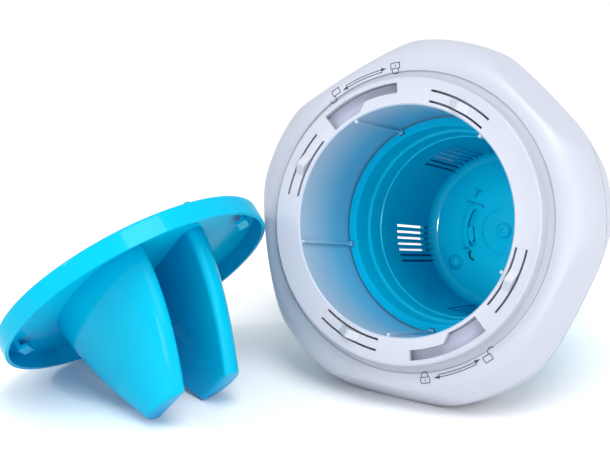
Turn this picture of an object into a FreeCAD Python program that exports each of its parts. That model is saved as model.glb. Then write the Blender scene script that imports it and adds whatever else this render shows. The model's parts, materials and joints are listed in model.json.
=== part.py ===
import FreeCAD, Part
import math
import os

# Floating chlorine dispenser: a float ring with five flats, a tablet canister
# hanging in it, a turning flow adjuster under the canister, and a
# push-and-turn lid that lies beside it.
#
# Dispenser frame: z = 0 is the seat that the lid closes on, +Z points out of
# the mouth, and angles run counter-clockwise for a person looking in.
# Lid frame: z = 0 is the underside of the disc, +Z points up when closed, and
# +X runs along the grip bar.
# Both are then laid down as they rest on a table, whose top is z = 0.
# Profiles are lists of (radius, z).

Vector = FreeCAD.Vector
CENTRE = Vector(0, 0, 0)
Z_AXIS = Vector(0, 0, 1)

# ---- driving dimensions, mm and degrees ----
MOUTH_R = 55.0           # inside of the collar tube
PLATFORM_R = 68.2        # raised seat round the mouth
PLATFORM_H = 8.5
CREST_R = 89.5           # float ring, where it is round
FACETS = 5
FACET_START = 54.0
EQUATOR_Z = -30.0        # weld line between the two float shells
FLOAT_BOTTOM_Z = -58.0
WALL = 2.0               # moulded walls, unless named below

PLATE_T = 2.0
TUBE_WALL = 1.8
TUBE_FIT = 0.3
RIBS = 5
RIB_START = 55.7         # direction of the first guide rib
TONGUES = 4
TONGUE_START = 72.2
TONGUE_HALF = 15.0
TONGUE_GAP = 0.04        # at the ends of each spring tongue
SLOT_START = 103.2       # first bayonet slot
SLOT_NARROW = 16.5
SLOT_WIDE = 19.5

RIM_Z = -54.0            # top of the canister's flange
RIM_R = 54.0
FLOOR_Z = -137.0         # inside floor of the canister
FLOOR_T = 2.2
FLOW_GROUPS = 5
FLOW_SLOTS = 7
FLOW_PITCH = 4.1
FLOW_SLOT_W = 1.3
FLOW_TOP_Z = -95.5
FLOW_BOTTOM_Z = -136.0

SLEEVE_TOP_Z = -90.0
SLEEVE_FIT = 0.3
SLEEVE_WALL = 1.8
WINDOW_BOTTOM_Z = -133.0
WINDOW_SPAN = 28.0
ADJUST_OPEN = 9.0        # turn from rest to fully open
ADJUST_CLOSED = 28.0     # turn from rest to the closed stop
STOP_R = 19.3            # arc slot and stop lug
STOP_END = 216.0
LUG_SPAN = 15.0
LUG_W = 3.2
STOP_SLOT_W = 4.0
PIN_D = 6.0
PIN_FIT = 0.05

LID_R = 70.4
LID_PLATE = 2.0
LID_SKIRT = 8.2
LID_WALL = 1.8
POCKET_DEPTH = 66.2
POCKET_BASE_A = 42.4     # half length along the grip bar, at the disc
POCKET_TIP_A = 14.4
POCKET_BASE_B = 35.6     # reach across the lid, at the disc
POCKET_TIP_B = 25.3
BAR_HALF = 12.9          # half of the gap between the pockets, at the disc
BAR_HALF_TIP = 12.0
POCKET_CORNER = 3.2
POCKET_CURVE = 1.78      # power that bends the pocket's ends in towards the tip
POCKET_TIP_ROUND = 1.8
POCKET_LEVELS = 6        # outlines that each pocket is lofted through
HOOK_DIRECTION = 50.0    # bayonet hooks, from the grip bar

LID_HEADING = -18.3      # direction of the grip bar on the table
LID_X = -116.6           # middle of the skirt's edge, from the mouth
LID_Y = -52.4
SHIFT_X = 42.4           # puts the origin under the middle of everything
SHIFT_Y = -14.4

PAST = 2.0               # how far a cutter runs past the face it opens


# ---- small helpers ----

def point(radius, angle, z):
    a = math.radians(angle)
    return Vector(radius * math.cos(a), radius * math.sin(a), z)


def chain(steps):
    """Closed wire in the XZ plane: each step is one point, or a list that a curve passes through."""
    edges = []
    here = steps[0]
    for step in steps[1:] + [steps[0]]:
        if isinstance(step, list):
            curve = Part.BSplineCurve()
            curve.interpolate([Vector(r, 0, z) for r, z in [here] + step])
            edges.append(curve.toShape())
            here = step[-1]
        else:
            edges.append(Part.makeLine(Vector(here[0], 0, here[1]), Vector(step[0], 0, step[1])))
            here = step
    return Part.Wire(edges)


def turned(steps):
    """Solid of revolution about the axis."""
    return Part.Face(chain(steps)).revolve(CENTRE, Z_AXIS, 360)


def sector(r0, r1, z0, z1, start, end):
    """Part of a ring between two directions."""
    box = chain([(r0, z0), (r1, z0), (r1, z1), (r0, z1)])
    solid = Part.Face(box).revolve(CENTRE, Z_AXIS, end - start)
    solid.rotate(CENTRE, Z_AXIS, start)
    return solid


def ring(r0, r1, z0, z1):
    return sector(r0, r1, z0, z1, 0, 360)


def block(r0, r1, width, z0, z1, angle):
    """Radial bar, centred on a direction."""
    bar = Part.makeBox(r1 - r0, width, z1 - z0, Vector(r0, -width / 2, z0))
    bar.rotate(CENTRE, Z_AXIS, angle)
    return bar


def joined(first, others):
    return first.fuse(others).removeSplitter()


# ---- float ring ----

FLOAT_IN_R = 84.4        # inside of both shells at the weld line
OUTER_TOP = [(79.2, -9.4), (84.9, -13.4), (88.3, -20.0), (CREST_R, EQUATOR_Z)]
OUTER_BOTTOM = [(89.0, -38.5), (86.4, -46.5), (80.0, -53.4), (68.6, -57.4)]
INNER_TOP = [(81.4, -22.0), (78.2, -15.0), (72.4, -10.9)]
INNER_BOTTOM = [(74.0, -53.0), (78.2, -46.8), (81.4, -38.5), (FLOAT_IN_R, EQUATOR_Z)]
FLOAT_FOOT = (67.6, FLOAT_BOTTOM_Z + 2.8)
FACET_APOTHEM = 86.6
TOP_FACET_LEAN = 20.0
SOCKET_R = MOUTH_R + TUBE_WALL + TUBE_FIT
LAND_Z = -PLATFORM_H
STEP_Z = -5.4            # the land is higher under the collar, as the floor of its bayonet slots
STEP_R = PLATFORM_R - WALL - 0.3
STEP_UNDER_Z = STEP_Z - WALL
GROOVE_R = 71.6
GROOVE_EDGE = (72.2, LAND_Z + 0.8)
KEY_R = SOCKET_R + WALL + 0.3   # ring under the top shell that centres the bottom shell's tube
KEY_END_Z = -17.0
GUIDE_R = (80.8, 82.4)   # ring inside the weld line
LIP_R = 84.7             # shelf that joins the guide ring to the bottom shell
LIP_END_Z = EQUATOR_Z - 4.0
LIP_TOP_Z = EQUATOR_Z - 0.5
GUIDE_TOP_Z = EQUATOR_Z + 3.0


def facet_cutters(upward, lean):
    """Flats round the ring, leaning in away from the weld line."""
    depth = 40
    length = 120
    height = 90
    below = 20
    cutters = []
    for i in range(FACETS):
        slab = Part.makeBox(depth, length, height, Vector(FACET_APOTHEM, -length / 2, -below))
        slab.rotate(Vector(FACET_APOTHEM, 0, 0), Vector(0, 1, 0), -lean)
        slab.translate(Vector(0, 0, EQUATOR_Z))
        if not upward:
            slab = slab.mirror(Vector(0, 0, EQUATOR_Z), Z_AXIS)
        slab.rotate(CENTRE, Z_AXIS, FACET_START + i * 360 / FACETS)
        cutters.append(slab)
    return cutters


def make_top_shell():
    under_z = LAND_Z - WALL
    steps = [(SOCKET_R, STEP_Z), (STEP_R, STEP_Z), (STEP_R, LAND_Z), (GROOVE_R, LAND_Z), GROOVE_EDGE]
    steps += [OUTER_TOP, (FLOAT_IN_R, EQUATOR_Z), INNER_TOP]
    steps += [(STEP_R - WALL, under_z), (STEP_R - WALL, STEP_UNDER_Z), (KEY_R + WALL, STEP_UNDER_Z)]
    steps += [(KEY_R + WALL, KEY_END_Z), (KEY_R, KEY_END_Z), (KEY_R, STEP_UNDER_Z), (SOCKET_R, STEP_UNDER_Z)]
    return turned(steps).cut(facet_cutters(True, TOP_FACET_LEAN))


def make_bottom_shell():
    tube_r = SOCKET_R + WALL
    steps = [(CREST_R, EQUATOR_Z), OUTER_BOTTOM, (SOCKET_R, FLOAT_BOTTOM_Z), (SOCKET_R, STEP_UNDER_Z)]
    steps += [(tube_r, STEP_UNDER_Z), (tube_r, FLOAT_BOTTOM_Z + WALL), FLOAT_FOOT, INNER_BOTTOM]
    shell = turned(steps).cut(facet_cutters(False, math.degrees(BODY_TILT)))
    lip = ring(GUIDE_R[0], LIP_R, LIP_END_Z, LIP_TOP_Z)
    guide = ring(GUIDE_R[0], GUIDE_R[1], LIP_END_Z, GUIDE_TOP_Z)
    return joined(shell, [lip, guide])


# ---- collar with its spring tongues ----

SLIT_IN = (56.9, 58.0)   # two slits free each tongue from the plate
SLIT_OUT = (62.1, 63.2)
LOCK_OUT_R = 65.7        # bayonet slot
LOCK_IN_R = 60.8
LOCK_STEP = 4.0          # turn over which the slot widens
BEAD_R = 58.0            # snap bead under the float
TUBE_END_Z = -60.2
SEAT_R = 52.4            # inward lip that the canister's flange sits on
SEAT_Z = RIM_Z - WALL - 0.1
RIB_W = 1.4
RIB_H = 1.5
RIB_TOP_Z = -0.8
RIB_FOOT_W = 2.4         # ribs thicken beside the flange, where they pass through its notches
RIB_FOOT_H = 2.4
RIB_FOOT_TOP_Z = RIM_Z + 1.5
RIB_ROOT = 0.5           # overlap into the tube wall
TONGUE_SINK = 0.2        # tongues are this much thinner than the plate
RIDGE_HALF = 5.0
RIDGE_FLAT = 0.5
RIDGE_RISE = 2.6


def bayonet_slot(start):
    """Keyhole slot: a hook drops in at the wide end and turns into the narrow end."""
    middle = start + SLOT_NARROW
    end = middle + SLOT_WIDE
    corners = [point(LOCK_OUT_R, start, PAST), point(LOCK_OUT_R, end, PAST), point(SLIT_IN[0], end, PAST)]
    corners += [point(SLIT_IN[0], middle + LOCK_STEP, PAST), point(LOCK_IN_R, middle, PAST)]
    corners += [point(LOCK_IN_R, start, PAST)]
    outer = Part.Arc(corners[0], point(LOCK_OUT_R, (start + end) / 2, PAST), corners[1])
    wide = Part.Arc(corners[2], point(SLIT_IN[0], (middle + LOCK_STEP + end) / 2, PAST), corners[3])
    narrow = Part.Arc(corners[4], point(LOCK_IN_R, (start + middle) / 2, PAST), corners[5])
    edges = [outer.toShape(), Part.makeLine(corners[1], corners[2]), wide.toShape()]
    edges += [Part.makeLine(corners[3], corners[4]), narrow.toShape(), Part.makeLine(corners[5], corners[0])]
    return Part.Face(Part.Wire(edges)).extrude(Vector(0, 0, -PLATE_T - 2 * PAST))


def make_collar():
    tube_r = MOUTH_R + TUBE_WALL
    steps = [(MOUTH_R + 0.6, 0), (PLATFORM_R - 0.8, 0), (PLATFORM_R, -0.8), (PLATFORM_R, LAND_Z)]
    steps += [(PLATFORM_R - WALL, LAND_Z), (PLATFORM_R - WALL, -PLATE_T), (tube_r, -PLATE_T)]
    steps += [(tube_r, TUBE_END_Z + 2.1), (BEAD_R, TUBE_END_Z + 1.8), (BEAD_R, TUBE_END_Z + 1)]
    steps += [(tube_r, TUBE_END_Z), (SEAT_R, TUBE_END_Z), (SEAT_R, SEAT_Z)]
    steps += [(MOUTH_R, SEAT_Z), (MOUTH_R, -0.6)]
    collar = turned(steps)
    root_r = MOUTH_R + RIB_ROOT
    ribs = []
    for i in range(RIBS):
        angle = RIB_START + i * 360 / RIBS
        ribs.append(block(MOUTH_R - RIB_H, root_r, RIB_W, SEAT_Z - 1, RIB_TOP_Z, angle))
        ribs.append(block(MOUTH_R - RIB_FOOT_H, root_r, RIB_FOOT_W, SEAT_Z - 1, RIB_FOOT_TOP_Z, angle))
    collar = joined(collar, ribs)
    cuts = [bayonet_slot(SLOT_START), bayonet_slot(SLOT_START + 180)]
    for i in range(TONGUES):
        middle = TONGUE_START + i * 360 / TONGUES
        ends = (middle - TONGUE_HALF, middle + TONGUE_HALF)
        cuts.append(sector(SLIT_IN[0], SLIT_OUT[1], -PLATE_T - PAST, PAST, ends[0], ends[1]))
    return collar.cut(cuts)


def make_tongue(index):
    """One spring tongue of the collar, with the ridge that the lid presses on."""
    middle = TONGUE_START + index * 360 / TONGUES
    r0 = SLIT_IN[1]
    r1 = SLIT_OUT[0]
    half = TONGUE_HALF - math.degrees(TONGUE_GAP / r0)
    strip = sector(r0, r1, -PLATE_T + TONGUE_SINK, 0, middle - half, middle + half)
    root = -RIDGE_FLAT
    sides = [(-RIDGE_HALF, root), (-RIDGE_HALF, 0), (-RIDGE_FLAT, RIDGE_RISE)]
    sides += [(RIDGE_FLAT, RIDGE_RISE), (RIDGE_HALF, 0), (RIDGE_HALF, root)]
    corners = [Vector(r0 - 1, y, z) for y, z in sides]
    ridge = Part.Face(Part.makePolygon(corners + [corners[0]])).extrude(Vector(r1 - r0 + 2, 0, 0))
    ridge.rotate(CENTRE, Z_AXIS, middle)
    return joined(strip, [ridge.common(ring(r0, r1, root, RIDGE_RISE + PAST))])


# ---- canister ----

WALL_TOP_OUT = (48.2, -79.2)     # draft of the lower wall, outside
WALL_FOOT_OUT = (45.6, FLOOR_Z + 5.4)
CANISTER_INSIDE = [(49.9, RIM_Z), (49.4, -66.6), (47.8, -66.8), (47.0, -77.0), (46.2, -77.2)]
INSIDE_FOOT = (43.6, FLOOR_Z + 4.6)
FLOOR_ROUND = [(42.6, FLOOR_Z + 1.8), (39.0, FLOOR_Z)]
UNDER_Z = FLOOR_Z - FLOOR_T
FOOT_OUTSIDE = [(43.2, FLOOR_Z - 1.2), (45.0, FLOOR_Z + 1.4), WALL_FOOT_OUT]
CANISTER_OUTSIDE = [WALL_TOP_OUT, (49.0, -79.0), (49.8, -68.8), (51.4, -68.6), (51.9, RIM_Z - WALL)]
NOTCH_IN_R = 52.1        # rim notches that pass the ribs
NOTCH_GAP = 0.4
MARK_RISE = 0.6          # raised marks on the floor
MARK_W = 0.8
HUB_RING_R = 13.0
STOP_RIB_R = 25.0
STOP_TICK_R = 22.6
STOP_RIB_PAST = 6.0      # how far the rib runs past the stop slot, degrees
BUMP_R = 33.0
BUMP_DIRECTION = 221.0
BUMP_BALL_R = 5.0
BUMP_SINK = 2.6
FLOW_CUT_R = (40.0, 54.0)


def arc_slot(radius, width, z0, z1, start, end):
    """Curved slot or lug with round ends whose centres lie at the two directions."""
    solid = sector(radius - width / 2, radius + width / 2, z0, z1, start, end)
    for angle in (start, end):
        solid = solid.fuse(Part.makeCylinder(width / 2, z1 - z0, point(radius, angle, z0)))
    return solid


def stop_span():
    """Directions of the stop slot's two end centres, and of the lug's leading end at rest."""
    last = STOP_END - math.degrees(STOP_SLOT_W / 2 / STOP_R)
    play = math.degrees((STOP_SLOT_W - LUG_W) / 2 / STOP_R)
    rest = last + play - ADJUST_OPEN
    return rest - LUG_SPAN - ADJUST_CLOSED - play, last, rest


def floor_marks():
    """Hub ring, rib beside the stop slot with a tick at each end, and a small dome."""
    z0 = FLOOR_Z - 1
    z1 = FLOOR_Z + MARK_RISE
    first, last, rest = stop_span()
    ends = (first - STOP_RIB_PAST, last + STOP_RIB_PAST)
    marks = [ring(HUB_RING_R - MARK_W, HUB_RING_R, z0, z1)]
    marks.append(sector(STOP_RIB_R - MARK_W, STOP_RIB_R, z0, z1, ends[0], ends[1]))
    for angle in ends:
        marks.append(block(STOP_TICK_R, STOP_RIB_R - MARK_W / 4, MARK_W, z0, z1, angle))
    ball = Part.makeSphere(BUMP_BALL_R, point(BUMP_R, BUMP_DIRECTION, FLOOR_Z - BUMP_SINK))
    marks.append(ball.common(ring(STOP_RIB_R, FLOOR_ROUND[-1][0], z0, FLOOR_Z + BUMP_BALL_R)))
    return marks


def make_canister():
    steps = CANISTER_INSIDE + [INSIDE_FOOT, FLOOR_ROUND, (0, FLOOR_Z)]
    steps += [(0, UNDER_Z), (40.0, UNDER_Z), FOOT_OUTSIDE]
    steps += CANISTER_OUTSIDE + [(RIM_R, RIM_Z - WALL), (RIM_R, RIM_Z)]
    canister = joined(turned(steps), floor_marks())
    first, last, rest = stop_span()
    cuts = [Part.makeCylinder(PIN_D / 2 + PIN_FIT, FLOOR_T + 2 * PAST, Vector(0, 0, UNDER_Z - PAST))]
    cuts.append(arc_slot(STOP_R, STOP_SLOT_W, UNDER_Z - PAST, FLOOR_Z + PAST, first, last))
    notch_w = RIB_FOOT_W + 2 * NOTCH_GAP
    for i in range(RIBS):
        angle = RIB_START + i * 360 / RIBS
        cuts.append(block(NOTCH_IN_R, RIM_R + PAST, notch_w, RIM_Z - WALL - PAST, RIM_Z + PAST, angle))
    for i in range(FLOW_GROUPS):
        middle = RIB_START + i * 360 / FLOW_GROUPS
        for k in range(FLOW_SLOTS):
            angle = middle + (k - (FLOW_SLOTS - 1) / 2) * FLOW_PITCH
            cuts.append(block(FLOW_CUT_R[0], FLOW_CUT_R[1], FLOW_SLOT_W, FLOW_BOTTOM_Z, FLOW_TOP_Z, angle))
    return canister.cut(cuts)


# ---- flow adjuster and its pivot ----

CUP_FLOOR_Z = UNDER_Z - SLEEVE_FIT
CUP_BASE_Z = CUP_FLOOR_Z - FLOOR_T
CUP_FOOT_Z = CUP_BASE_Z - 1.5
CUP_LOW_Z = FLOOR_Z + 5.0       # where the sleeve meets the rounded corner
CUP_CORNER_IN = [(45.4, FLOOR_Z + 1.3), (43.5, FLOOR_Z - 1.5), (40.2, CUP_FLOOR_Z)]
FOOT_IN_R = 38.0         # ring that the adjuster stands on
FOOT_ROUND = 4.0
SLEEVE_BEVEL = 0.5
FLUTES = 30
FLUTE_R = 1.6
FLUTE_OUT = 1.3          # centres lie this far outside the sleeve
FLUTE_Z = (CUP_FOOT_Z + FOOT_ROUND, WINDOW_BOTTOM_Z - 1.5)
WINDOW_SHIFT = 2 * FLOW_PITCH    # at rest the windows leave two slots of each group covered
LUG_PROUD = 0.4
PIN_HEAD_R = 5.0
PIN_HEAD_T = 1.2
PIN_SNAP_R = 4.2
PIN_SNAP_Z = FLOOR_Z + 0.1


def sleeve_radius(z):
    """Inside of the sleeve, which follows the draft of the canister's wall."""
    share = (z - WALL_TOP_OUT[1]) / (WALL_FOOT_OUT[1] - WALL_TOP_OUT[1])
    return WALL_TOP_OUT[0] + share * (WALL_FOOT_OUT[0] - WALL_TOP_OUT[0]) + SLEEVE_FIT


def make_adjuster():
    r_top = sleeve_radius(SLEEVE_TOP_Z)
    r_low = sleeve_radius(CUP_LOW_Z)
    rim_r = r_top + SLEEVE_WALL
    base_r = r_low + SLEEVE_WALL
    cut = FOOT_ROUND * (1 - math.sqrt(0.5))
    round_foot = [(base_r - cut, CUP_FOOT_Z + cut), (base_r, CUP_FOOT_Z + FOOT_ROUND)]
    steps = [(0, CUP_BASE_Z), (FOOT_IN_R, CUP_BASE_Z), (FOOT_IN_R + 1, CUP_FOOT_Z)]
    steps += [(base_r - FOOT_ROUND, CUP_FOOT_Z), round_foot]
    steps += [(rim_r, SLEEVE_TOP_Z - SLEEVE_BEVEL), (rim_r - SLEEVE_BEVEL, SLEEVE_TOP_Z)]
    steps.append((r_top, SLEEVE_TOP_Z))
    steps += [(r_low, CUP_LOW_Z), CUP_CORNER_IN, (0, CUP_FLOOR_Z)]
    root = 0.5
    rest = stop_span()[2]
    lug = arc_slot(STOP_R, LUG_W, CUP_FLOOR_Z - root, FLOOR_Z + LUG_PROUD, rest - LUG_SPAN, rest)
    cup = joined(turned(steps), [lug])
    cuts = [Part.makeCylinder(PIN_D / 2, FLOOR_T + 2 * PAST, Vector(0, 0, CUP_BASE_Z - PAST))]
    for i in range(FLOW_GROUPS):
        start = RIB_START + i * 360 / FLOW_GROUPS - WINDOW_SHIFT - WINDOW_SPAN / 2
        top = FLOW_TOP_Z + 1
        cuts.append(sector(FLOW_CUT_R[0], FLOW_CUT_R[1], WINDOW_BOTTOM_Z, top, start, start + WINDOW_SPAN))
    for i in range(FLUTES):
        at = point(base_r + FLUTE_OUT, i * 360 / FLUTES, FLUTE_Z[0])
        cuts.append(Part.makeCylinder(FLUTE_R, FLUTE_Z[1] - FLUTE_Z[0], at))
    return cup.cut(cuts)


def make_pin():
    """Snap pin: pressed into the cup, turning in the canister's floor."""
    shaft_r = PIN_D / 2
    steps = [(0, CUP_BASE_Z - PIN_HEAD_T), (PIN_HEAD_R - 0.4, CUP_BASE_Z - PIN_HEAD_T)]
    steps += [(PIN_HEAD_R, CUP_BASE_Z - PIN_HEAD_T + 0.4), (PIN_HEAD_R, CUP_BASE_Z), (shaft_r, CUP_BASE_Z)]
    steps += [(shaft_r, PIN_SNAP_Z), (PIN_SNAP_R, PIN_SNAP_Z), (PIN_SNAP_R, PIN_SNAP_Z + 0.8)]
    steps += [(PIN_SNAP_R - 1, PIN_SNAP_Z + 1.5), (1.6, PIN_SNAP_Z + 1.5)]
    steps += [(1.4, PIN_SNAP_Z + 1), (0, PIN_SNAP_Z + 1)]
    return turned(steps)


# ---- lid ----

LID_ROUND = 1.4          # rounded top edge of the skirt
HOOK_HALF = 5.5          # degrees
HOOK_POST_R = (61.4, 63.4)
HOOK_FOOT_R = (58.2, 62.0)
HOOK_END_Z = -4.9
HOOK_FOOT_T = 1.7
PIP_R = (66.0, 69.0)     # small raised mark that shows which way the lid turns
PIP_W = 2.4
PIP_RISE = 0.7
PIP_DIRECTION = 0.0
POCKET_FLOOR = WALL + 0.3


def pocket_outline(a, b, gap, corner, z):
    """Flat beside the grip bar, round corners, and an elliptical outer wall."""
    left = Vector(-a + corner, gap, z)
    right = Vector(a - corner, gap, z)
    side = Vector(a, gap + corner, z)
    other = Vector(-a, gap + corner, z)
    middle = Vector(0, gap + corner, z)
    bend = corner * math.sqrt(0.5)
    outer_wall = Part.ArcOfEllipse(Part.Ellipse(side, Vector(0, b, z), middle), 0, math.pi)
    edges = [Part.makeLine(left, right)]
    edges.append(Part.Arc(right, Vector(a - corner + bend, gap + corner - bend, z), side).toShape())
    edges.append(outer_wall.toShape())
    edges.append(Part.Arc(other, Vector(-a + corner - bend, gap + corner - bend, z), left).toShape())
    return Part.Wire(edges)


def pocket_solid(inset, top, bottom):
    """Tapering finger pocket on the +Y side, shrunk by inset all round."""
    outlines = []
    for i in range(POCKET_LEVELS):
        z = top + (bottom - top) * i / (POCKET_LEVELS - 1)
        share = max(0.0, -z / POCKET_DEPTH)
        a = POCKET_BASE_A - (POCKET_BASE_A - POCKET_TIP_A) * share ** POCKET_CURVE - inset
        b = POCKET_BASE_B - (POCKET_BASE_B - POCKET_TIP_B) * share - inset
        gap = BAR_HALF + (BAR_HALF_TIP - BAR_HALF) * share + inset
        outlines.append(pocket_outline(a, b, gap, POCKET_CORNER - inset * 0.7, z))
    return Part.makeLoft(outlines, True, False)


def round_bottom(solid, z, radius):
    """Round the lowest edges of a pocket."""
    near = 0.01
    low = [e for e in solid.Edges if abs(e.BoundBox.ZMax - z) < near and abs(e.BoundBox.ZMin - z) < near]
    return solid.makeFillet(radius, low)


def hook(angle):
    """L-shaped bayonet hook: a post under the disc with a foot that turns inward."""
    start = angle - HOOK_HALF
    end = angle + HOOK_HALF
    post = sector(HOOK_POST_R[0], HOOK_POST_R[1], HOOK_END_Z, LID_PLATE / 4, start, end)
    foot = sector(HOOK_FOOT_R[0], HOOK_FOOT_R[1], HOOK_END_Z, HOOK_END_Z + HOOK_FOOT_T, start, end)
    return post.fuse(foot)


def make_lid():
    skirt_r = LID_R - LID_WALL
    cut = LID_ROUND * (1 - math.sqrt(0.5))
    steps = [(0, 0), (skirt_r, 0), (skirt_r, -LID_SKIRT), (LID_R, -LID_SKIRT)]
    steps.append((LID_R, LID_PLATE - LID_ROUND))
    steps += [[(LID_R - cut, LID_PLATE - cut), (LID_R - LID_ROUND, LID_PLATE)], (0, LID_PLATE)]
    disc = turned(steps)
    outside = []
    inside = []
    for turn in (0, 180):
        outer = round_bottom(pocket_solid(0, LID_PLATE / 4, -POCKET_DEPTH), -POCKET_DEPTH, POCKET_TIP_ROUND)
        inner = pocket_solid(WALL, LID_PLATE + 1, -POCKET_DEPTH + POCKET_FLOOR)
        outer.rotate(CENTRE, Z_AXIS, turn)
        inner.rotate(CENTRE, Z_AXIS, turn)
        outside.append(outer)
        inside.append(inner)
    outside += [hook(HOOK_DIRECTION), hook(HOOK_DIRECTION + 180)]
    outside.append(block(PIP_R[0], PIP_R[1], PIP_W, LID_PLATE / 2, LID_PLATE + PIP_RISE, PIP_DIRECTION))
    return disc.fuse(outside).cut(inside)


# ---- laying everything on the table ----

def body_tilt():
    """Angle of the axis above the table when a facet and the adjuster's edge both touch it."""
    drop = FACET_APOTHEM - (sleeve_radius(CUP_LOW_Z) + SLEEVE_WALL - FOOT_ROUND)
    run = EQUATOR_Z - (CUP_FOOT_Z + FOOT_ROUND)
    return math.atan2(drop, run) - math.asin(FOOT_ROUND / math.hypot(drop, run))


def lid_tilt():
    """Angle of the lid's disc when it lies on its rim and on both pocket tips."""
    slope = math.atan((POCKET_BASE_A - POCKET_TIP_A) * POCKET_CURVE / POCKET_DEPTH)
    inset = POCKET_TIP_ROUND * math.tan((math.pi / 2 - slope) / 2)
    drop = POCKET_DEPTH - POCKET_TIP_ROUND - LID_SKIRT
    run = LID_R - POCKET_TIP_A + inset
    return math.atan2(drop, run) + math.asin(POCKET_TIP_ROUND / math.hypot(drop, run))


BODY_TILT = body_tilt()
LID_TILT = lid_tilt()
MOUTH_HEIGHT = FACET_APOTHEM * math.cos(BODY_TILT) - EQUATOR_Z * math.sin(BODY_TILT)
SKIRT_HEIGHT = LID_R * math.sin(LID_TILT)


def lay_body(shape):
    shape = shape.copy()
    shape.rotate(CENTRE, Vector(1, 0, 0), 90 - math.degrees(BODY_TILT))
    shape.translate(Vector(SHIFT_X, SHIFT_Y, MOUTH_HEIGHT))
    return shape


def lay_lid(shape):
    shape = shape.copy()
    shape.translate(Vector(0, 0, LID_SKIRT))
    shape.rotate(CENTRE, Vector(0, 1, 0), -math.degrees(LID_TILT))
    shape.rotate(CENTRE, Z_AXIS, LID_HEADING)
    shape.translate(Vector(SHIFT_X + LID_X, SHIFT_Y + LID_Y, SKIRT_HEIGHT))
    return shape


def main():
    os.makedirs("parts", exist_ok=True)
    nodes = {
        "float_top_shell": lay_body(make_top_shell()),
        "float_bottom_shell": lay_body(make_bottom_shell()),
        "collar": lay_body(make_collar()),
        "canister": lay_body(make_canister()),
        "flow_adjuster": lay_body(make_adjuster()),
        "pivot_pin": lay_body(make_pin()),
        "lid": lay_lid(make_lid()),
    }
    for i in range(TONGUES):
        nodes[f"spring_tongue_{i + 1}"] = lay_body(make_tongue(i))
    for name, shape in nodes.items():
        shape.exportStep(f"parts/{name}.step")
        print(name, "valid", shape.isValid(), "solids", len(shape.Solids), "volume", round(shape.Volume))
    everything = Part.makeCompound(list(nodes.values())).BoundBox
    print("box", everything)
    print("tilt", math.degrees(BODY_TILT), "lid tilt", math.degrees(LID_TILT), "mouth height", MOUTH_HEIGHT)
    return nodes


main()
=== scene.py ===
import json
import math
import bmesh
import bpy
from mathutils import Matrix, Vector
from mathutils.bvhtree import BVHTree


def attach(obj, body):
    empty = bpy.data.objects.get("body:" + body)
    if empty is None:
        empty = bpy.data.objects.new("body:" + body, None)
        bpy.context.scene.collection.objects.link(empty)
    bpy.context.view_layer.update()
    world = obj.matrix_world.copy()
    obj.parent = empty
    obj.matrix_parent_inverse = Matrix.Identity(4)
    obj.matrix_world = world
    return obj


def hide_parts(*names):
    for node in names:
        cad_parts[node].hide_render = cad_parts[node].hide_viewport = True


# Floating chlorine dispenser. All lengths are in metres.
# Dispenser frame: the origin is the middle of the mouth's seat, +Z points out
# of the mouth, and angles run counter-clockwise for a person looking in.

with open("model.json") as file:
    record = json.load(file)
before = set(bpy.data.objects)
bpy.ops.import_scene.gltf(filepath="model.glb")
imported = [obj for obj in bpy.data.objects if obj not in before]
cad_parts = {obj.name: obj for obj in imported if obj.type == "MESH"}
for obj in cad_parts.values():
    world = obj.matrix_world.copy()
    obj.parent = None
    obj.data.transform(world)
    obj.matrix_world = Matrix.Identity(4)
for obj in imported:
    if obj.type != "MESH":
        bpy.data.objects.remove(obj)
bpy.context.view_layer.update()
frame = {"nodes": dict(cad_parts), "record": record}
joints = {j["name"]: j for j in frame["record"]["behaviour"]["joints"]}
MM = 0.001

# ---- the dispenser's own frame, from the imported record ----
OUTWARD = Vector(joints["canister_slide"]["axis"]).normalized()
PIVOT_DEPTH = 0.139      # the adjuster's joint lies this far behind the seat
MOUTH = Vector(joints["flow_adjuster_turn"]["pos_m"]) + PIVOT_DEPTH * OUTWARD
SIDE = Vector((1, 0, 0))
UP = OUTWARD.cross(SIDE)
TO_ROW = Matrix((SIDE, UP, OUTWARD)).transposed()


def to_row(radius, angle, z):
    """Row-frame point from millimetres and degrees in the dispenser frame."""
    a = math.radians(angle)
    local = Vector((radius * math.cos(a), radius * math.sin(a), z)) * MM
    return MOUTH + TO_ROW @ local


# ---- materials ----

def node_material(name):
    mat = bpy.data.materials.new(name)
    mat.use_nodes = True
    return mat, mat.node_tree.nodes, mat.node_tree.links, mat.node_tree.nodes["Principled BSDF"]


def noise(nodes, links, coords, scale, detail, roughness):
    tex = nodes.new("ShaderNodeTexNoise")
    tex.inputs["Scale"].default_value = scale
    tex.inputs["Detail"].default_value = detail
    tex.inputs["Roughness"].default_value = roughness
    links.new(coords.outputs["Object"], tex.inputs["Vector"])
    return tex.outputs["Fac"]


def ramp(nodes, links, fac, stops):
    node = nodes.new("ShaderNodeValToRGB")
    node.color_ramp.elements[0].position = stops[0][0]
    node.color_ramp.elements[0].color = stops[0][1]
    node.color_ramp.elements[1].position = stops[1][0]
    node.color_ramp.elements[1].color = stops[1][1]
    links.new(fac, node.inputs["Fac"])
    return node.outputs["Color"]


def grey(v):
    return (v, v, v, 1)


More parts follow.
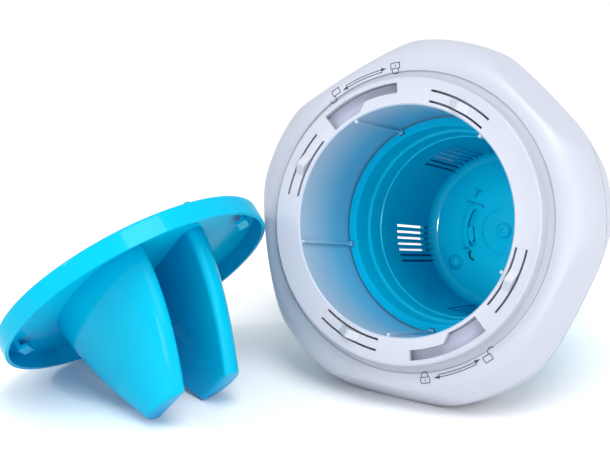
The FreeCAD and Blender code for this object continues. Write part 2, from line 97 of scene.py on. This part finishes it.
def plastic(name, dark, light, rough_low, rough_high):
    """Moulded plastic: faint cloudiness, uneven gloss and a very fine grain."""
    mat, nodes, links, shader = node_material(name)
    coords = nodes.new("ShaderNodeTexCoord")
    cloud = noise(nodes, links, coords, 28, 3, 0.55)
    links.new(ramp(nodes, links, cloud, [(0.3, dark), (0.7, light)]), shader.inputs["Base Color"])
    gloss = noise(nodes, links, coords, 90, 4, 0.6)
    gloss_stops = [(0.3, grey(rough_low)), (0.7, grey(rough_high))]
    links.new(ramp(nodes, links, gloss, gloss_stops), shader.inputs["Roughness"])
    grain = noise(nodes, links, coords, 1400, 2, 0.5)
    bump = nodes.new("ShaderNodeBump")
    bump.inputs["Strength"].default_value = 0.05
    bump.inputs["Distance"].default_value = 0.0004
    links.new(grain, bump.inputs["Height"])
    links.new(bump.outputs["Normal"], shader.inputs["Normal"])
    shader.inputs["IOR"].default_value = 1.5
    return mat


blue = plastic("blue_plastic", (0.0, 0.42, 0.63, 1), (0.0, 0.46, 0.67, 1), 0.16, 0.24)
blue_shader = blue.node_tree.nodes["Principled BSDF"]
blue_shader.inputs["Specular IOR Level"].default_value = 0.02
blue_shader.inputs["Coat Weight"].default_value = 0.16
blue_shader.inputs["Coat Roughness"].default_value = 0.05


def paint_hollow_shade(mat, colour, reach, low, high):
    """Painted shade: turns the plastic towards a deeper colour in its hollows, as light that bounces there does.
    """
    nodes = mat.node_tree.nodes
    links = mat.node_tree.links
    shader = nodes["Principled BSDF"]
    plain = shader.inputs["Base Color"].links[0].from_socket
    open_sky = nodes.new("ShaderNodeAmbientOcclusion")
    open_sky.samples = 8
    open_sky.inputs["Distance"].default_value = reach
    share = nodes.new("ShaderNodeMapRange")
    share.inputs["From Min"].default_value = low
    share.inputs["From Max"].default_value = high
    links.new(open_sky.outputs["AO"], share.inputs["Value"])
    mix = nodes.new("ShaderNodeMix")
    mix.data_type = "RGBA"
    mix.inputs[6].default_value = colour
    links.new(share.outputs["Result"], mix.inputs["Factor"])
    links.new(plain, mix.inputs[7])
    links.new(mix.outputs[2], shader.inputs["Base Color"])


# painted shade: the blue parts turn deeper blue in their hollows
paint_hollow_shade(blue, (0.0, 0.28, 0.58, 1), 0.05, 0.1, 0.6)
WHITE_LOOK = ((0.445, 0.465, 0.535, 1), (0.465, 0.485, 0.555, 1), 0.3, 0.38)
white = plastic("white_plastic", *WHITE_LOOK)
land_white_painted_shade = plastic("land_white_painted_shade", *WHITE_LOOK)
collar_white_painted_bounce = plastic("collar_white_painted_bounce", *WHITE_LOOK)
# painted shade: the raised floor marks are a darker blue than the canister, for the shade along their sides
painted_shade_mark_blue = plastic("painted_shade_mark_plastic", (0.0, 0.25, 0.46, 1), (0.0, 0.29, 0.5, 1), 0.3, 0.4)
# painted shadow: near-black colour for the shadow in a small hook-shaped hollow on the canister floor
painted_shadow_blue = plastic("painted_shadow_plastic", (0.0, 0.05, 0.09, 1), (0.0, 0.07, 0.12, 1), 0.3, 0.4)
for mat in (painted_shade_mark_blue, painted_shadow_blue):
    mat.node_tree.nodes["Principled BSDF"].inputs["Specular IOR Level"].default_value = 0.02
ink = plastic("mark_ink", (0.03, 0.03, 0.05, 1), (0.05, 0.05, 0.08, 1), 0.5, 0.6)


def paint_bounce_within(mat, colour, radius, start, end, strength):
    """Painted bounce light and shade: tints what lies within a radius of the axis, more with depth, as light
    thrown back by the parts around does.
    """
    nodes = mat.node_tree.nodes
    links = mat.node_tree.links
    shader = nodes["Principled BSDF"]
    plain = shader.inputs["Base Color"].links[0].from_socket

    def vector_math(operation, first, second=None):
        node = nodes.new("ShaderNodeVectorMath")
        node.operation = operation
        links.new(first, node.inputs[0])
        if second is not None:
            node.inputs[1].default_value = second
        return node.outputs["Value"] if operation in ("DOT_PRODUCT", "LENGTH") else node.outputs["Vector"]

    def math_node(operation, first, second):
        node = nodes.new("ShaderNodeMath")
        node.operation = operation
        for socket, value in zip(node.inputs, (first, second)):
            if isinstance(value, (int, float)):
                socket.default_value = value
            else:
                links.new(value, socket)
        return node.outputs["Value"]

    def share(value, low, high, out_low, out_high):
        node = nodes.new("ShaderNodeMapRange")
        links.new(value, node.inputs["Value"])
        for name, number in (("From Min", low), ("From Max", high), ("To Min", out_low), ("To Max", out_high)):
            node.inputs[name].default_value = number
        return node.outputs["Result"]

    place = nodes.new("ShaderNodeTexCoord").outputs["Object"]
    offset = vector_math("SUBTRACT", place, MOUTH)
    depth = vector_math("DOT_PRODUCT", offset, OUTWARD)
    length = vector_math("LENGTH", offset)
    square = math_node("SUBTRACT", math_node("POWER", length, 2.0), math_node("MULTIPLY", depth, depth))
    within = share(math_node("POWER", square, 0.5), radius - 0.0003, radius + 0.0003, 1, 0)
    deep = share(depth, start, end, 0, strength)
    mix = nodes.new("ShaderNodeMix")
    mix.data_type = "RGBA"
    links.new(math_node("MULTIPLY", within, deep), mix.inputs["Factor"])
    links.new(plain, mix.inputs[6])
    mix.inputs[7].default_value = colour
    links.new(mix.outputs[2], shader.inputs["Base Color"])


# painted bounce light: the collar tube's white inside turns blue with depth, as if lit by the blue canister
paint_bounce_within(collar_white_painted_bounce, (0.08, 0.4, 0.62, 1), 0.0556, 0.012, -0.04, 0.9)
# painted shade: the white seat land around the mouth turns a darker bluish grey
paint_bounce_within(land_white_painted_shade, (0.4, 0.44, 0.66, 1), 0.0662, -0.004, -0.0045, 0.35)

WHITE_NODES = ["float_top_shell", "float_bottom_shell"]
WHITE_NODES += [f"spring_tongue_{i}" for i in (1, 2, 3, 4)]
BLUE_NODES = ["canister", "flow_adjuster", "pivot_pin", "lid"]
for names, mat in ((WHITE_NODES, white), (BLUE_NODES, blue), (["collar"], collar_white_painted_bounce)):
    for name in names:
        for slot in frame["nodes"][name].material_slots:
            slot.link = "OBJECT"
            slot.material = mat


# ---- the float's two shells, with soft flats and a weld line between them ----

FLATS = 5
FLAT_START = 54.0        # direction of the first flat
APOTHEM = 86.6           # millimetres, at the weld line
FLAT_BOW = 0.75          # 1 is a true plane, less bows the flat outward
FLAT_SOFT = 1.3          # rounding of the creases beside each flat
WELD_Z = -30.0
TOP_LEAN = 20.0
BOTTOM_LEAN = 90 - math.degrees(OUTWARD.angle(Vector((0, 0, 1))))
STEPS_ROUND = 360
SHELL_WALL = 2.0

# outside of each shell as (radius, z) millimetres, without the flats
TOP_OUT = [(72.2, -7.7), (76.2, -8.3), (80.4, -10.3), (84.3, -13.9), (87.0, -18.0)]
TOP_OUT += [(88.6, -21.6), (89.2, -25.0), (89.4, -29.6)]
BOTTOM_OUT = [(89.4, -30.4), (89.3, -38.0), (88.3, -43.5), (85.6, -48.8), (81.0, -53.2), (75.0, -56.2)]
BOTTOM_OUT += [(68.6, -57.6)]


def smooth_line(points, steps):
    """Catmull-Rom curve through (radius, z) points."""
    ends = [points[0]] + points + [points[-1]]
    line = []
    for i in range(len(points) - 1):
        p0, p1, p2, p3 = [Vector(q) for q in ends[i:i + 4]]
        for k in range(steps):
            t = k / steps
            turn = (p2 - p0) * t + (2 * p0 - 5 * p1 + 4 * p2 - p3) * t * t + (3 * p1 - p0 - 3 * p2 + p3) * t ** 3
            line.append(tuple(p1 + turn / 2))
    return line + [points[-1]]


def soft_min(a, b, soft):
    share = max(0.0, min(1.0, 0.5 + 0.5 * (b - a) / soft))
    return b * (1 - share) + a * share - soft * share * (1 - share)


def flattened(radius, angle, z, lean):
    """Radius after the five flats are taken off, at one direction and height."""
    pitch = 360 / FLATS
    away = math.radians((angle - FLAT_START + pitch / 2) % pitch - pitch / 2)
    apothem = APOTHEM - math.tan(math.radians(lean)) * abs(z - WELD_Z)
    return soft_min(radius, apothem * (1 + FLAT_BOW * away * away / 2), FLAT_SOFT)


def turned_mesh(name, loop, lean):
    """Closed ring from a loop of (radius, z, depth).

    Depth None keeps the radius; a number lies that far inside the flattened outside.
    """
    verts = []
    for i in range(STEPS_ROUND):
        angle = 360 * i / STEPS_ROUND
        for radius, z, depth in loop:
            r = radius if depth is None else min(radius, flattened(radius + depth, angle, z, lean) - depth)
            verts.append(to_row(r, angle, z))
    n = len(loop)
    faces = []
    for i in range(STEPS_ROUND):
        here = i * n
        after = (i + 1) % STEPS_ROUND * n
        for k in range(n):
            faces.append((here + k, after + k, after + (k + 1) % n, here + (k + 1) % n))
    return make_object(name, verts, faces)


def make_object(name, verts, faces, crease=35.0):
    """Mesh object with outward normals, smooth except across sharp edges."""
    mesh = bpy.data.meshes.new(name)
    mesh.from_pydata([tuple(v) for v in verts], [], faces)
    work = bmesh.new()
    work.from_mesh(mesh)
    bmesh.ops.recalc_face_normals(work, faces=work.faces)
    for face in work.faces:
        face.smooth = True
    for edge in work.edges:
        edge.smooth = edge.calc_face_angle(0) < math.radians(crease)
    work.to_mesh(mesh)
    work.free()
    obj = bpy.data.objects.new(name, mesh)
    bpy.context.collection.objects.link(obj)
    return obj


def fixed(points):
    return [(r, z, None) for r, z in points]


def make_shells():
    top_loop = fixed([(57.1, -5.4), (65.9, -5.4), (65.9, -8.5), (71.6, -8.5)])
    top_loop += [(r, z, 0.0) for r, z in smooth_line(TOP_OUT, 6)]
    inside = [(87.2, -29.6), (86.0, -22.0), (82.0, -15.4), (76.5, -11.6), (72.6, -10.9)]
    top_loop += [(r, z, SHELL_WALL) for r, z in smooth_line(inside, 4)]
    top_loop += fixed([(59.2, -10.5), (57.1, -7.4)])
    top = turned_mesh("float_top_skin", top_loop, TOP_LEAN)
    bottom_loop = [(r, z, 0.0) for r, z in smooth_line(BOTTOM_OUT, 6)]
    bottom_loop += fixed([(57.1, -58.0), (57.1, -7.5), (59.0, -7.5), (59.0, -56.0), (67.6, -55.4)])
    inside = [(74.5, -53.6), (80.0, -50.0), (84.0, -44.0), (86.6, -38.0), (87.2, -30.4)]
    bottom_loop += [(r, z, SHELL_WALL) for r, z in smooth_line(inside, 4)]
    bottom = turned_mesh("float_bottom_skin", bottom_loop, BOTTOM_LEAN)
    for skin, node, mat in ((top, "float_top_shell", land_white_painted_shade), (bottom, "float_bottom_shell", white)):
        skin.data.materials.append(mat)
        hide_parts(node)
        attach(skin, "float")
    return top


# ---- printed turn marks: a padlock at each end of a double arrow ----

MARK_WIDTH = 0.4
ICON_SCALE = 0.88
MARK_STEP = 0.5          # longest straight piece of a line
MARK_RISE = 0.07
MARK_SINK = 0.2
MARK_R = 74.2            # middle of the marks
CLOSED_AT = 286.2        # closed padlock
OPEN_AT = 311.8          # open padlock
ARROW_FROM = 290.6
ARROW_TO = 308.2
ARROW_STEPS = 24


def finer(line, widths):
    """The same line in short steps, so that it follows the curved surface."""
    points = [line[0]]
    spread = [widths[0]]
    for i in range(len(line) - 1):
        here, after = Vector(line[i]), Vector(line[i + 1])
        steps = max(1, math.ceil((after - here).length / MARK_STEP))
        for k in range(1, steps + 1):
            points.append(tuple(here.lerp(after, k / steps)))
            spread.append(widths[i] + (widths[i + 1] - widths[i]) * k / steps)
    return points, spread


def ribbon(surface, line, widths, rise=MARK_RISE):
    """Thin closed strip that follows the surface; line is (x, y) millimetres in the dispenser frame."""
    line, widths = finer(line, widths)
    verts = []
    faces = []
    for i, (x, y) in enumerate(line):
        before = Vector(line[max(i - 1, 0)])
        after = Vector(line[min(i + 1, len(line) - 1)])
        along = (after - before).normalized()
        across = Vector((-along.y, along.x)) * widths[i] / 2
        for side in (1, -1):
            local = Vector((x + side * across.x, y + side * across.y, 20)) * MM
            hit, normal, _, _ = surface.ray_cast(MOUTH + TO_ROW @ local, -OUTWARD)
            verts.append(hit + normal * rise * MM)
            verts.append(hit - normal * MARK_SINK * MM)
    for i in range(len(line) - 1):
        a = 4 * i
        for k0, k1 in ((0, 1), (1, 3), (3, 2), (2, 0)):
            faces.append((a + k0, a + k1, a + 4 + k1, a + 4 + k0))
    last = 4 * (len(line) - 1)
    faces += [(0, 2, 3, 1), (last, last + 1, last + 3, last + 2)]
    return verts, faces


def arc_line(radius, start, end, steps):
    line = []
    for i in range(steps + 1):
        a = math.radians(start + (end - start) * i / steps)
        line.append((radius * math.cos(a), radius * math.sin(a)))
    return line


def icon_line(angle, points):
    """Points (across, inward) about the icon's middle, turned to stand at one direction of the float."""
    a = math.radians(angle)
    out = Vector((math.cos(a), math.sin(a)))
    across = Vector((-math.sin(a), math.cos(a)))
    return [tuple(out * (MARK_R - inward * ICON_SCALE) + across * side * ICON_SCALE) for side, inward in points]


def shackle(middle, base, radius, start, end, steps=10):
    """Arched bar of a padlock."""
    points = []
    for i in range(steps + 1):
        a = math.radians(start + (end - start) * i / steps)
        points.append((middle + radius * math.cos(a), base + radius * math.sin(a)))
    return points


def joined_ribbons(surface, parts, rise):
    verts = []
    faces = []
    for line, widths in parts:
        new_verts, new_faces = ribbon(surface, line, widths, rise)
        faces += [tuple(i + len(verts) for i in face) for face in new_faces]
        verts += new_verts
    return verts, faces


def make_marks(surface, name, turn):
    lines = []
    closed = CLOSED_AT + turn
    lines.append(icon_line(closed, [(-2.6, -2.9), (2.6, -2.9), (2.6, 0.3), (-2.6, 0.3), (-2.6, -2.9)]))
    lines.append(icon_line(closed, [(-1.9, 0.3)] + shackle(0, 1.2, 1.9, 180, 0) + [(1.9, 0.3)]))
    lines.append(icon_line(closed, [(0, -0.7), (0, -1.9)]))
    opened = OPEN_AT + turn
    lines.append(icon_line(opened, [(-2.4, -2.6), (2.4, -2.6), (2.4, 0.6), (-2.4, 0.6), (-2.4, -2.6)]))
    lines.append(icon_line(opened, [(1.6, 0.6), (1.6, 1.4)] + shackle(3.7, 1.4, 2.1, 180, 20)))
    lines.append(arc_line(MARK_R - 0.6, ARROW_FROM + turn + 1, ARROW_TO + turn, ARROW_STEPS))
    lines.append(arc_line(MARK_R + 0.6, ARROW_FROM + turn, ARROW_TO + turn - 1, ARROW_STEPS))
    parts = [(line, [MARK_WIDTH] * len(line)) for line in lines]
    for radius, start, way in ((MARK_R - 0.6, ARROW_TO + turn, 1), (MARK_R + 0.6, ARROW_FROM + turn, -1)):
        head = arc_line(radius, start - way * 1.4, start + way * 0.9, 6)
        parts.append((head, [1.7 * (1 - i / 6) + 0.1 for i in range(7)]))
    marks = make_object(name, *joined_ribbons(surface, parts, MARK_RISE))
    marks.data.materials.append(ink)
    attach(marks, "float")


top_skin = make_shells()
top_surface = BVHTree.FromObject(top_skin, bpy.context.evaluated_depsgraph_get())
make_marks(top_surface, "turn_marks_lower", 0)
make_marks(top_surface, "turn_marks_upper", 180)


# ---- moulded marks on the canister's floor, beside the stop slot, coloured darker as painted shade, and a painted shadow of a small hook ----

HOOK_MARK = [(27.0, 152), (18.6, 141), (17.4, 144)]
T_STEM = [(25.2, 142), (26.6, 132)]
T_CAP = [(24.8, 130), (28.2, 135)]
SHORT_TICK = [(25.4, 212), (22.2, 214)]
SMALL_HOOK = [(22.0, 219.5), (23.4, 221), (24.4, 227), (23.6, 233)]
FLOOR_MARK_WIDTH = 0.9
FLOOR_MARK_RISE = 0.6


def round_line(points):
    """(radius, direction) points as (x, y)."""
    return [(r * math.cos(math.radians(a)), r * math.sin(math.radians(a))) for r, a in points]


def make_floor_marks():
    surface = BVHTree.FromObject(frame["nodes"]["canister"], bpy.context.evaluated_depsgraph_get())
    raised = (HOOK_MARK, T_STEM, T_CAP, SHORT_TICK)
    # the near-black hook strip is a painted shadow
    pieces = [("canister_floor_marks", raised, painted_shade_mark_blue), ("canister_floor_hook_painted_shadow", (SMALL_HOOK,), painted_shadow_blue)]
    for name, lines, mat in pieces:
        parts = [(round_line(line), [FLOOR_MARK_WIDTH] * len(line)) for line in lines]
        marks = make_object(name, *joined_ribbons(surface, parts, FLOOR_MARK_RISE))
        marks.data.materials.append(mat)
        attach(marks, "canister")


make_floor_marks()

# ---- floor, light and camera ----

FLOOR_HALF = 4.0
PICTURE_WIDTH = 610      # pixels, of the view that the camera matches
FOCAL = 1600             # pixels
SENSOR = 36.0
CAMERA_SHIFT = -2        # pixels


def make_floor():
    half = FLOOR_HALF
    mesh = bpy.data.meshes.new("floor")
    mesh.from_pydata([(-half, -half, 0), (half, -half, 0), (half, half, 0), (-half, half, 0)], [], [(0, 1, 2, 3)])
    floor = bpy.data.objects.new("floor", mesh)
    bpy.context.collection.objects.link(floor)
    mat, nodes, links, shader = node_material("floor_paper")
    coords = nodes.new("ShaderNodeTexCoord")
    cloud = noise(nodes, links, coords, 3, 2, 0.5)
    links.new(ramp(nodes, links, cloud, [(0.3, grey(0.955)), (0.7, grey(0.97))]), shader.inputs["Base Color"])
    shader.inputs["Roughness"].default_value = 0.9
    shader.inputs["Specular IOR Level"].default_value = 0.1
    mesh.materials.append(mat)


def area_light(name, place, target, size, power, colour):
    data = bpy.data.lights.new(name, "AREA")
    data.shape = "DISK"
    data.size = size
    data.energy = power
    data.color = colour
    light = bpy.data.objects.new(name, data)
    bpy.context.collection.objects.link(light)
    light.location = place
    light.rotation_euler = (Vector(target) - Vector(place)).to_track_quat("-Z", "Y").to_euler()


INSIDE_SOURCE = 0.03     # radius of the narrow light, metres


def inside_light(distance, reach, power):
    """Narrow light down the axis that shows the inside of the canister."""
    data = bpy.data.lights.new("inside", "SPOT")
    data.energy = power
    data.spot_size = 2 * math.atan(reach / distance)
    data.spot_blend = 0.4
    data.shadow_soft_size = INSIDE_SOURCE
    light = bpy.data.objects.new("inside", data)
    bpy.context.collection.objects.link(light)
    light.location = MOUTH + OUTWARD * distance
    light.rotation_euler = (-OUTWARD).to_track_quat("-Z", "Y").to_euler()


def make_world():
    world = bpy.data.worlds.new("studio")
    bpy.context.scene.world = world
    world.use_nodes = True
    background = world.node_tree.nodes["Background"]
    background.inputs["Color"].default_value = (0.96, 0.975, 1.0, 1)
    background.inputs["Strength"].default_value = 0.85


def make_camera():
    data = bpy.data.cameras.new("camera")
    data.sensor_width = SENSOR
    data.lens = FOCAL / PICTURE_WIDTH * data.sensor_width
    data.shift_x = CAMERA_SHIFT / PICTURE_WIDTH
    camera = bpy.data.objects.new("camera", data)
    bpy.context.collection.objects.link(camera)
    camera.location = MOUTH + Vector((0.3034, -0.6438, 0.2514))
    camera.rotation_euler = Vector((-0.454, 0.823, -0.342)).to_track_quat("-Z", "Y").to_euler()
    bpy.context.scene.camera = camera


make_floor()
make_world()
area_light("key", (0.5, -0.5, 1.5), (0, 0, 0.05), 0.9, 13, (1.0, 1.0, 1.0))
area_light("edge", (-0.9, -1.0, 0.9), (-0.06, -0.05, 0.05), 0.14, 3.5, (1.0, 1.0, 1.0))
area_light("low", (0.8, -1.0, 0.12), (0.05, 0, 0.06), 0.5, 3, (1.0, 1.0, 1.0))
area_light("fill", (1.2, -0.6, 0.7), (0, 0, 0.06), 0.8, 4, (0.96, 0.98, 1.0))
inside_light(0.9, 0.046, 24)
make_camera()
bpy.context.scene.view_settings.view_transform = "Standard"
